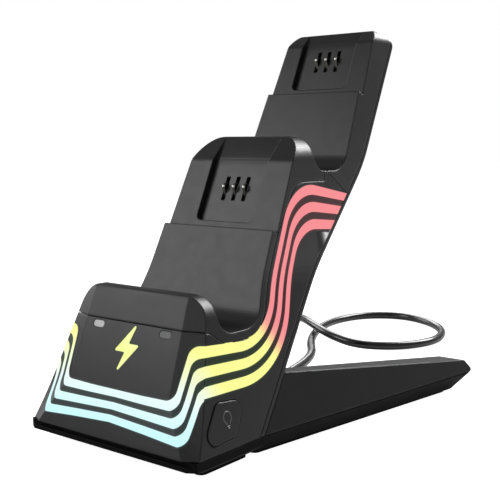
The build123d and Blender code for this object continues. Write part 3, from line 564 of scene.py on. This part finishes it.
# Painted glow from the bands, laid as emission on the shell plastic beside them
PAINTED_HALO = painted_band_halo()
EMBLEM = lit_lens("emblem lens", linear(250, 255, 172), linear(240, 252, 130), 0.95, linear(20, 24, 10))
STATUS_ON = lit_lens("status lens lit", linear(178, 178, 178), linear(156, 158, 158), 0.8, linear(60, 60, 60))
STATUS_OFF = lit_lens("status lens dim", linear(84, 85, 85), linear(70, 72, 72), 0.6, linear(40, 40, 40))
LEAF = bright_metal("spring leaf", linear(70, 68, 64), linear(104, 101, 96), 0.34)
TIP = bright_metal("contact tip", linear(216, 214, 206), linear(242, 240, 234), 0.16)
STEEL = bright_metal("bright steel", linear(150, 150, 152), linear(206, 206, 208), 0.28)
BOARD = circuit_board()

FINISHES = {
    "shell": SHELL,
    "cradle": CRADLE,
    "cover": COVER,
    "light": BAND,
    "lens": EMBLEM,
    "status": STATUS_OFF,
    "carrier": CARRIER,
    "contact": LEAF,
    "board": BOARD,
    "steel": STEEL,
    "rubber": RUBBER,
    "cable": JACKET,
}


def finish_node(node, material):
    """Give a solid one material over all its faces."""
    mesh = frame["nodes"][node].data
    mesh.materials.clear()
    mesh.materials.append(material)


def finish_nodes():
    """Every solid takes the finish of its record slot. The lit status light and the back cover differ."""
    for part in frame["record"]["subparts"]:
        finish_node(part["node"], FINISHES[part["material_slot"]])
    finish_node("left_status_light", STATUS_ON)
    finish_node("back_cover", SHELL)


# Surfaces
def grid_mesh(name, points, material, across=None):
    """Closed mesh of quads over a grid of points, rows along the path and columns round the section.

    The last column joins the first, and the first and last rows are closed by caps. Given values across
    become the v of a UV map whose u is the row's share of the length.
    """
    rows, columns = points.shape[:2]
    index = np.arange(rows * columns).reshape(rows, columns)
    index = np.hstack([index, index[:, :1]])
    corners = [index[:-1, :-1], index[:-1, 1:], index[1:, 1:], index[1:, :-1]]
    faces = np.stack(corners, axis=-1).reshape(-1, 4).tolist()
    faces.append(list(range(columns))[::-1])
    faces.append(list(range((rows - 1) * columns, rows * columns)))
    mesh = bpy.data.meshes.new(name)
    mesh.from_pydata(points.reshape(-1, 3).tolist(), [], faces)
    if across is not None:
        along = np.repeat(np.linspace(0, 1, rows), columns)
        uv = np.stack([along, np.tile(across, rows)], axis=1)
        loops = np.empty(len(mesh.loops), dtype=np.int32)
        mesh.loops.foreach_get("vertex_index", loops)
        mesh.uv_layers.new(name="strip").data.foreach_set("uv", uv[loops].ravel())
    mesh.materials.append(material)
    face_outwards(mesh)
    return add_object(name, mesh)


def face_outwards(mesh, sharp=SHARP_ANGLE, merge=0.0):
    """Turn a closed mesh's faces outwards, after merging doubles if asked, and shade it by its angles."""
    work = bmesh.new()
    work.from_mesh(mesh)
    if merge:
        bmesh.ops.remove_doubles(work, verts=work.verts, dist=merge)
    bmesh.ops.recalc_face_normals(work, faces=work.faces)
    work.to_mesh(mesh)
    work.free()
    mesh.shade_smooth()
    mesh.set_sharp_from_angle(angle=math.radians(sharp))


def even_path(points, count):
    """Points spread evenly along a polyline, by linear interpolation over its running length."""
    steps = np.linalg.norm(np.diff(points, axis=0), axis=1)
    run = np.concatenate([[0], np.cumsum(steps)])
    spread = np.linspace(0, run[-1], count)
    return np.stack([np.interp(spread, run, column) for column in points.T], axis=1)


def rounded_path(corners, radii, arc_points=24):
    """Polyline whose inner corners are arcs tangent to both runs.

    An arc of radius r starts r tan(turn / 2) before its corner, and its spoke swings through the turn.
    """
    corners = np.asarray(corners, float)
    pieces = [corners[:1]]
    for before, corner, after, radius in zip(corners, corners[1:], corners[2:], radii):
        into = (corner - before) / np.linalg.norm(corner - before)
        out = (after - corner) / np.linalg.norm(after - corner)
        turn = np.arctan2(into[0] * out[1] - into[1] * out[0], into @ out)
        start = corner - into * radius * np.tan(abs(turn) / 2)
        spoke = -np.sign(turn) * radius * np.array([-into[1], into[0]])
        swing = np.linspace(0, turn, arc_points)[:, None]
        pieces.append(start - spoke + spoke * np.cos(swing) + np.array([-spoke[1], spoke[0]]) * np.sin(swing))
    pieces.append(corners[-1:])
    return np.vstack(pieces)


def fan_edge(upper, lower, radii, share):
    """Edge at a share of the way from the fan's upper rail to its lower one, as even points."""
    corners = (1 - share) * np.asarray(upper, float) + share * np.asarray(lower, float)
    bends = (1 - share) * np.asarray(radii[0], float) + share * np.asarray(radii[1], float)
    return even_path(rounded_path(corners, bends), EDGE_POINTS)


def side_width(z):
    """Half width of the tower at heights: flare below the waist, taper above, joined by an arc."""
    flare = math.atan((BASE_HALF - WAIST_HALF) / (WAIST_Z - SEAM_Z))
    taper = math.atan((WAIST_HALF - TOP_HALF) / (TOP_Z - WAIST_Z))
    straight = WAIST_HALF + (WAIST_Z - z) * np.where(z < WAIST_Z, math.tan(flare), math.tan(taper))
    reach = WAIST_RADIUS / math.cos((flare - taper) / 2)
    middle = (flare + taper) / 2
    centre_z = WAIST_Z + reach * math.sin(middle)
    centre_x = WAIST_HALF + reach * math.cos(middle)
    arc = centre_x - np.sqrt(np.maximum(WAIST_RADIUS**2 - (z - centre_z) ** 2, 0))
    low = centre_z - WAIST_RADIUS * math.sin(flare)
    high = centre_z - WAIST_RADIUS * math.sin(taper)
    return np.where((z > low) & (z < high), arc, straight)


def front_station(x, z):
    """Station of the nose's face: the leaning front, or the bevel where that lies further back.

    The bevel is ruled between three level lines, so its line at a height has ends that lie between theirs.
    """
    face = (z - SEAM_Z) * math.tan(math.radians(FRONT_LEAN))
    heights = np.array(FACET_HEIGHTS)
    creases = np.array(FACET_CREASES)
    slopes = np.array(FACET_SLOPES)
    crease = np.interp(z, heights, creases)
    near = -FACET_LEAD * np.interp(z, heights, slopes)
    end = np.interp(z, heights, (FACET_REACH - creases) * slopes)
    share = (np.abs(x) - crease + FACET_LEAD) / (FACET_REACH - crease + FACET_LEAD)
    return face + np.maximum(near + share * (end - near), 0)


# Painted glow on the shell beside the light bands
def side_strip(first, last, side):
    """Strip of the tower's side between two edges of the fan, as a grid of places in millimetres.

    Each edge is cut at the nose's crease and at the mouldings behind, and spread evenly again. Rows run along
    the edges, columns lie on straight lines between them, and the half width at each height gives x.
    """
    slope = (CREASE_HIGH[0] - CREASE_LOW[0]) / (CREASE_HIGH[1] - CREASE_LOW[1])
    edges = []
    for share in (first, last):
        y, z = fan_edge(UPPER_SIDE_RAIL, LOWER_SIDE_RAIL, SIDE_RADII, share).T
        crease = CREASE_LOW[0] + (z - CREASE_LOW[1]) * slope
        cover = COVER_EDGE[0] + (z - COVER_EDGE[1]) * COVER_EDGE[2]
        cradle = CRADLE_EDGE[0] + (CRADLE_EDGE[1] - z) * CRADLE_EDGE[2]
        inside = (y > crease + HALO_SHY) & (y < np.minimum(cover, cradle) - COVER_SHY)
        edges.append(even_path(np.stack([y[inside], z[inside]], axis=1), SIDE_ROWS))
    across = np.linspace(0, 1, STRIP_COLUMNS)[None, :, None]
    places = edges[0][:, None] * (1 - across) + edges[1][:, None] * across
    x = side * (side_width(places[..., 1]) + HALO_LIFT)
    return np.stack([x, places[..., 0] + FRONT, places[..., 1]], axis=-1)


def front_strip(first, last):
    """Strip of the nose between two edges of the fan from one crease to the other, as the side strip is."""
    edges = []
    for share in (first, last):
        x, z = fan_edge(UPPER_FRONT_RAIL, LOWER_FRONT_RAIL, FRONT_RADII, share).T
        inside = x < side_width(z) - HALO_SHY
        half = np.stack([x[inside], z[inside]], axis=1)
        edges.append(even_path(np.vstack([half, half[-2::-1] * (-1, 1)]), FRONT_ROWS))
    across = np.linspace(0, 1, STRIP_COLUMNS)[None, :, None]
    places = edges[0][:, None] * (1 - across) + edges[1][:, None] * across
    x, z = places[..., 0], places[..., 1]
    return np.stack([x, front_station(x, z) - HALO_LIFT + FRONT, z], axis=-1)


def make_painted_halo(name, points, painted_glow, inwards):
    """One strip of painted glow, a thin skin on the shell: the grid, and the grid again one lift further in.
    """
    under = points[:, ::-1] + HALO_LIFT * np.array(inwards)
    slab = np.concatenate([points, under], axis=1) * MM
    strip = grid_mesh(name, slab, PAINTED_HALO, across=np.array(painted_glow + painted_glow[::-1]))
    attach(strip, "dock")


def make_painted_halos():
    """Strips of painted glow in the two gaps of the fan, ones that fade out beside it, and one round the
    bolt.
    """
    even = (1.0, 0.5, 0.35, 0.5, 1.0)
    fade = (1.0, 0.6, 0.3, 0.1, 0.0)
    pitch = BAND_SHARE + GAP_SHARE
    strips = {
        "upper_gap": (BAND_SHARE, pitch, even),
        "lower_gap": (pitch + BAND_SHARE, 2 * pitch, even),
        "lower_margin": (1.0, 1.0 + HALO_MARGIN, fade),
    }
    for name, (first, last, painted_glow) in strips.items():
        make_painted_halo(f"right_{name}_glow", side_strip(first, last, 1), painted_glow, (-1, 0, 0))
        make_painted_halo(f"left_{name}_glow", side_strip(first, last, -1), painted_glow, (1, 0, 0))
        make_painted_halo(f"front_{name}_glow", front_strip(first, last), painted_glow, (0, 1, 0))
    make_painted_halo("front_upper_margin_glow", front_strip(-HALO_MARGIN, 0.0), fade[::-1], (0, 1, 0))
    # Painted glow on the shell round the lit bolt
    make_painted_halo("emblem_glow", bolt_ring(), fade, (0, 1, 0))


def bolt_ring():
    """Ring of painted glow on the nose's face round the bolt, as a grid of places in millimetres.

    The bolt's rounded outline is spread evenly, and each point moves outwards along its normal, column by
    column. Distance up the leaning face times the lean's cosine is height, and the face gives the station.
    """
    corners = np.array(BOLT_CORNERS + BOLT_CORNERS[:2], float)
    path = rounded_path(corners, [BOLT_RADIUS] * len(BOLT_CORNERS), arc_points=8)[1:-1]
    outline = even_path(np.vstack([path, path[:1]]), BOLT_ROWS)
    tangent = np.roll(outline[:-1], -1, axis=0) - np.roll(outline[:-1], 1, axis=0)
    tangent = np.vstack([tangent, tangent[:1]])
    tangent /= np.linalg.norm(tangent, axis=1, keepdims=True)
    outwards = np.stack([tangent[:, 1], -tangent[:, 0]], axis=1)
    reach = np.linspace(0, BOLT_GLOW, STRIP_COLUMNS)[None, :, None]
    places = outline[:, None] + outwards[:, None] * reach
    x = places[..., 0]
    z = EMBLEM_Z + places[..., 1] * math.cos(math.radians(FRONT_LEAN))
    return np.stack([x, front_station(x, z) - HALO_LIFT + FRONT, z], axis=-1)


# Contact windows
def window_axes(bay):
    """Middle of a bay's slots on the recess's floor, the way up the backrest and the way out of it."""
    lean = math.radians(BAY_LEAN)
    middle = np.array(CONTACT_PLACE) + bay * np.array(BAY_STEP) + (0, FRONT, 0)
    along = np.array([0, math.sin(lean), math.cos(lean)])
    out = np.array([0, -math.cos(lean), math.sin(lean)])
    return middle, along, out


def window_block():
    """Rounded block in the lower recess's place: its outline lies on the floor and on a level out of it."""
    half, low, high = WINDOW_HALF, WINDOW_LOW, WINDOW_CUT_TOP
    corners = [(0, high), (half, high), (half, low), (-half, low), (-half, high), (0, high)]
    outline = rounded_path(corners, [WINDOW_TOP_RADIUS, WINDOW_RADIUS, WINDOW_RADIUS, WINDOW_TOP_RADIUS])[1:]
    middle, along, out = window_axes(0)
    flat = middle + outline[:, :1] * np.array([1, 0, 0]) + outline[:, 1:] * along
    return np.stack([flat, flat + WINDOW_CUT_DEPTH * out])


def across_window(bay, section, half):
    """Section in the recess's own up and out, run across the window from one half width to the other."""
    middle, along, out = window_axes(bay)
    flat = middle + section[:, :1] * along + section[:, 1:] * out
    side = np.array([half, 0, 0])
    return np.stack([flat - side, flat + side])


def bend_block(bay):
    """Wedge over a recess's upper end: its lower face is a straight line from the bend past the ridge."""
    foot = BEND_FOOT[bay]
    ridge = np.array(BEND_END[bay])
    far = ridge + BEND_PAST * (ridge - (foot, 0)) / np.linalg.norm(ridge - (foot, 0))
    section = np.array([(foot, 0), far, (far[0], BEND_OVER), (foot, BEND_OVER)])
    return across_window(bay, section, WINDOW_HALF + BEND_BITE)


def seam_strip(bay):
    """Thin strip over the seam where a recess's floor bends: it follows the floor, then the bend."""
    foot = BEND_FOOT[bay]
    slope = BEND_END[bay][1] / (BEND_END[bay][0] - foot)
    low, high = foot + SEAM_REACH[0], foot + SEAM_REACH[1]
    top = [(low, SEAM_LIFT), (foot, SEAM_LIFT), (high, SEAM_LIFT + slope * SEAM_REACH[1])]
    section = np.array(top + [(high, SEAM_ROOT), (low, SEAM_ROOT)])
    return across_window(bay, section, WINDOW_HALF - SEAM_LIFT)


def gap_block(bay):
    """Bar along the foot of the raised block round a window, as wide and deep as the shadow gap."""
    low, high = BLOCK_FOOT, BLOCK_FOOT + GAP_WIDTH
    deep, over = BLOCK_FACE - GAP_DEPTH, BLOCK_FACE + BEND_OVER
    section = np.array([(low, deep), (high, deep), (high, over), (low, over)])
    return across_window(bay, section, GAP_HALF)


def carve(node, name, forms, slot):
    """Copy of a solid less some blocks, which stands for the solid in the looks."""
    mesh = frame["nodes"][node].data.copy()
    face_outwards(mesh, CARVED_SHARP, MERGE_REACH)
    piece = add_object(name, mesh)
    blocks = [grid_mesh("carving_block", form * MM, FINISHES[slot]) for form in forms]
    for block in blocks:
        cut = piece.modifiers.new("recess", "BOOLEAN")
        cut.object = block
        cut.operation = "DIFFERENCE"
        cut.solver = "EXACT"
    made = piece.evaluated_get(bpy.context.evaluated_depsgraph_get())
    piece.data = bpy.data.meshes.new_from_object(made)
    piece.modifiers.clear()
    for block in blocks:
        bpy.data.objects.remove(block)
    piece.data.materials.clear()
    piece.data.materials.append(FINISHES[slot])
    piece.data.set_sharp_from_angle(angle=math.radians(CARVED_SHARP))
    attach(piece, "dock")
    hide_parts(node)


def make_recesses():
    """Housing with the lower recess carried through it, and cradles with bent recesses and shadow gaps."""
    carve("main_housing", "recessed_housing", [window_block()], "shell")
    for bay, level in enumerate(("lower", "upper")):
        carve(f"{level}_cradle", f"recessed_{level}_cradle", [bend_block(bay), gap_block(bay)], "cradle")
        strip = grid_mesh(f"{level}_recess_seam", seam_strip(bay) * MM, RECESS)
        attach(strip, "dock")


# Contact tips
def tip_form(centre, out, along):
    """Ball tip on a leaf: a circle of radius r sin(a) at r cos(a) along the way out, a from 0 to 180 degrees.

    Towards the leaf it is drawn in to a waist: the radius is times 1 - TIP_WAIST (1 - cos(a))^2 / 4.
    """
    tilt = np.linspace(TIP_POLE, np.pi - TIP_POLE, TIP_ROWS)[:, None]
    turn = np.linspace(0, 2 * np.pi, TIP_COLUMNS, endpoint=False)[None, :]
    waist = 1 - TIP_WAIST * (1 - np.cos(tilt)) ** 2 / 4
    side = np.cross(along, out)
    radius = (TIP_RADIUS * np.sin(tilt) * waist)[..., None]
    height = (TIP_RADIUS * np.cos(tilt))[..., None] * np.ones_like(turn)[..., None]
    return centre + radius * (np.cos(turn)[..., None] * side + np.sin(turn)[..., None] * along) + height * out


def make_tips():
    """Bright tip on each of the six spring leaves."""
    for bay, level in enumerate(("lower", "upper")):
        window, along, out = window_axes(bay)
        for place, column in (("left", -1), ("middle", 0), ("right", 1)):
            centre = window + (column * CONTACT_PITCH, 0, 0) + TIP_PLACE[0] * along + TIP_PLACE[1] * out
            form = tip_form(centre, out, along) * MM
            tip = grid_mesh(f"{level}_{place}_contact_tip", form, TIP)
            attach(tip, f"{level}_{place}_contact")


# Sign on the mode button
def raised_line(path, origin, across, up, out):
    """Low rounded line along a path on a face: a half oval, half the line's width by its height, swept along.

    The path's two coordinates are measured along the face's own axes, and its tangent gives the sideways
    direction at each point.
    """
    tangent = np.gradient(path, axis=0)
    tangent /= np.linalg.norm(tangent, axis=1, keepdims=True)
    sideways = np.stack([-tangent[:, 1], tangent[:, 0]], axis=1)
    swing = np.linspace(0, np.pi, LINE_COLUMNS)
    oval = np.stack([LINE_WIDTH / 2 * np.cos(swing), LINE_HEIGHT * np.sin(swing)], axis=1)
    flat = path[:, None] + sideways[:, None] * oval[None, :, :1]
    return origin + flat[..., :1] * across + flat[..., 1:] * up + (oval[:, 1:] * out)[None]


def make_sign():
    """Plain lamp sign: a bulb's open ring over two short bars of its cap, raised on the mode button's face in
    a light grey that is painted highlight.
    """
    flare = math.atan((BASE_HALF - WAIST_HALF) / (WAIST_Z - SEAM_Z))
    out = np.array([math.cos(flare), 0, math.sin(flare)])
    across = np.array([0, 1.0, 0])
    up = np.array([-math.sin(flare), 0, math.cos(flare)])
    half = float(side_width(np.array(BUTTON_Z)))
    origin = np.array([half, BUTTON_STATION + FRONT, BUTTON_Z]) + BUTTON_PROUD * out
    swing = np.radians(np.linspace(*BULB_SWEEP, BULB_POINTS))
    middle = np.array(BULB_CENTRE)
    ring = middle + BULB_RADIUS * np.stack([np.cos(swing), np.sin(swing)], axis=1)
    right_neck = even_path(np.array([middle + (NECK_HALF, NECK_LOW), ring[0]]), BAR_POINTS)
    left_neck = even_path(np.array([ring[-1], middle + (-NECK_HALF, NECK_LOW)]), BAR_POINTS)
    lines = {
        "ring": np.vstack([right_neck[:-1], ring, left_neck[1:]]),
        "bar": even_path(middle + [[-NECK_HALF, BAR_LOW], [NECK_HALF, BAR_LOW]], BAR_POINTS),
        "tip": even_path(middle + [[-NECK_HALF / 2, TIP_LOW], [NECK_HALF / 2, TIP_LOW]], BAR_POINTS),
    }
    for name, path in lines.items():
        form = raised_line(path, origin, across, up, out) * MM
        line = grid_mesh(f"mode_sign_{name}", form, PAINTED_HIGHLIGHT_SIGN)
        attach(line, "mode_button")


# Lead
def coil_points():
    """Turns of the put-away lead: inwards on the floor, up at the inner turn, outwards above.

    Angle grows evenly. The radius falls by two steps, stays while the height rises one layer, then grows by
    two steps back to the outermost radius.
    """
    turns = COIL_TURNS + (COIL_OUT - COIL_IN) / 360
    along = np.linspace(0, turns, round(turns * POINTS_PER_TURN) + 1)
    angle = np.radians(COIL_IN + 360 * along)
    radius = COIL_OUTER - COIL_STEP * np.interp(along, [0, *COIL_RISE, turns], [0, 2, 2, 0])
    height = np.interp(along, COIL_RISE, [COIL_LOW, COIL_HIGH])
    flat = np.stack([np.cos(angle), np.sin(angle)], axis=1) * radius[:, None] + COIL_CENTRE
    return np.column_stack([flat, height])


def make_lead():
    """Lead as one smooth spline: the route, the coil's turns and the tail down to the plug."""
    coil = coil_points()
    out = math.radians(COIL_OUT)
    heading = np.array([-math.sin(out), math.cos(out), 0])
    drop = np.array([0, 0, COIL_HIGH - PLUG_HEIGHT])
    tail = [
        coil[-1] + heading * TAIL_LENGTH / 2 - TAIL_DROP * drop,
        coil[-1] + heading * TAIL_LENGTH - drop,
        coil[-1] + heading * (TAIL_LENGTH + PLUG_GRIP) - drop,
    ]
    points = np.vstack([CORD_ROUTE, coil, tail])
    curve = bpy.data.curves.new("lead", "CURVE")
    curve.dimensions = "3D"
    curve.bevel_depth = CORD_DIAMETER / 2
    curve.bevel_resolution = 5
    curve.resolution_u = 8
    curve.use_fill_caps = True
    spline = curve.splines.new("NURBS")
    spline.points.add(len(points) - 1)
    spline.points.foreach_set("co", np.column_stack([points, np.ones(len(points))]).ravel())
    spline.order_u = 3
    spline.use_endpoint_u = True
    lead = add_object("lead", curve)
    curve.materials.append(JACKET)
    light_alone(lead)
    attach(lead, "dock")
    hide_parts("cord", "cord_coil", "cord_tail")


make_camera()
make_stage()
finish_nodes()
make_lead()
make_painted_halos()
make_recesses()
make_tips()
make_sign()
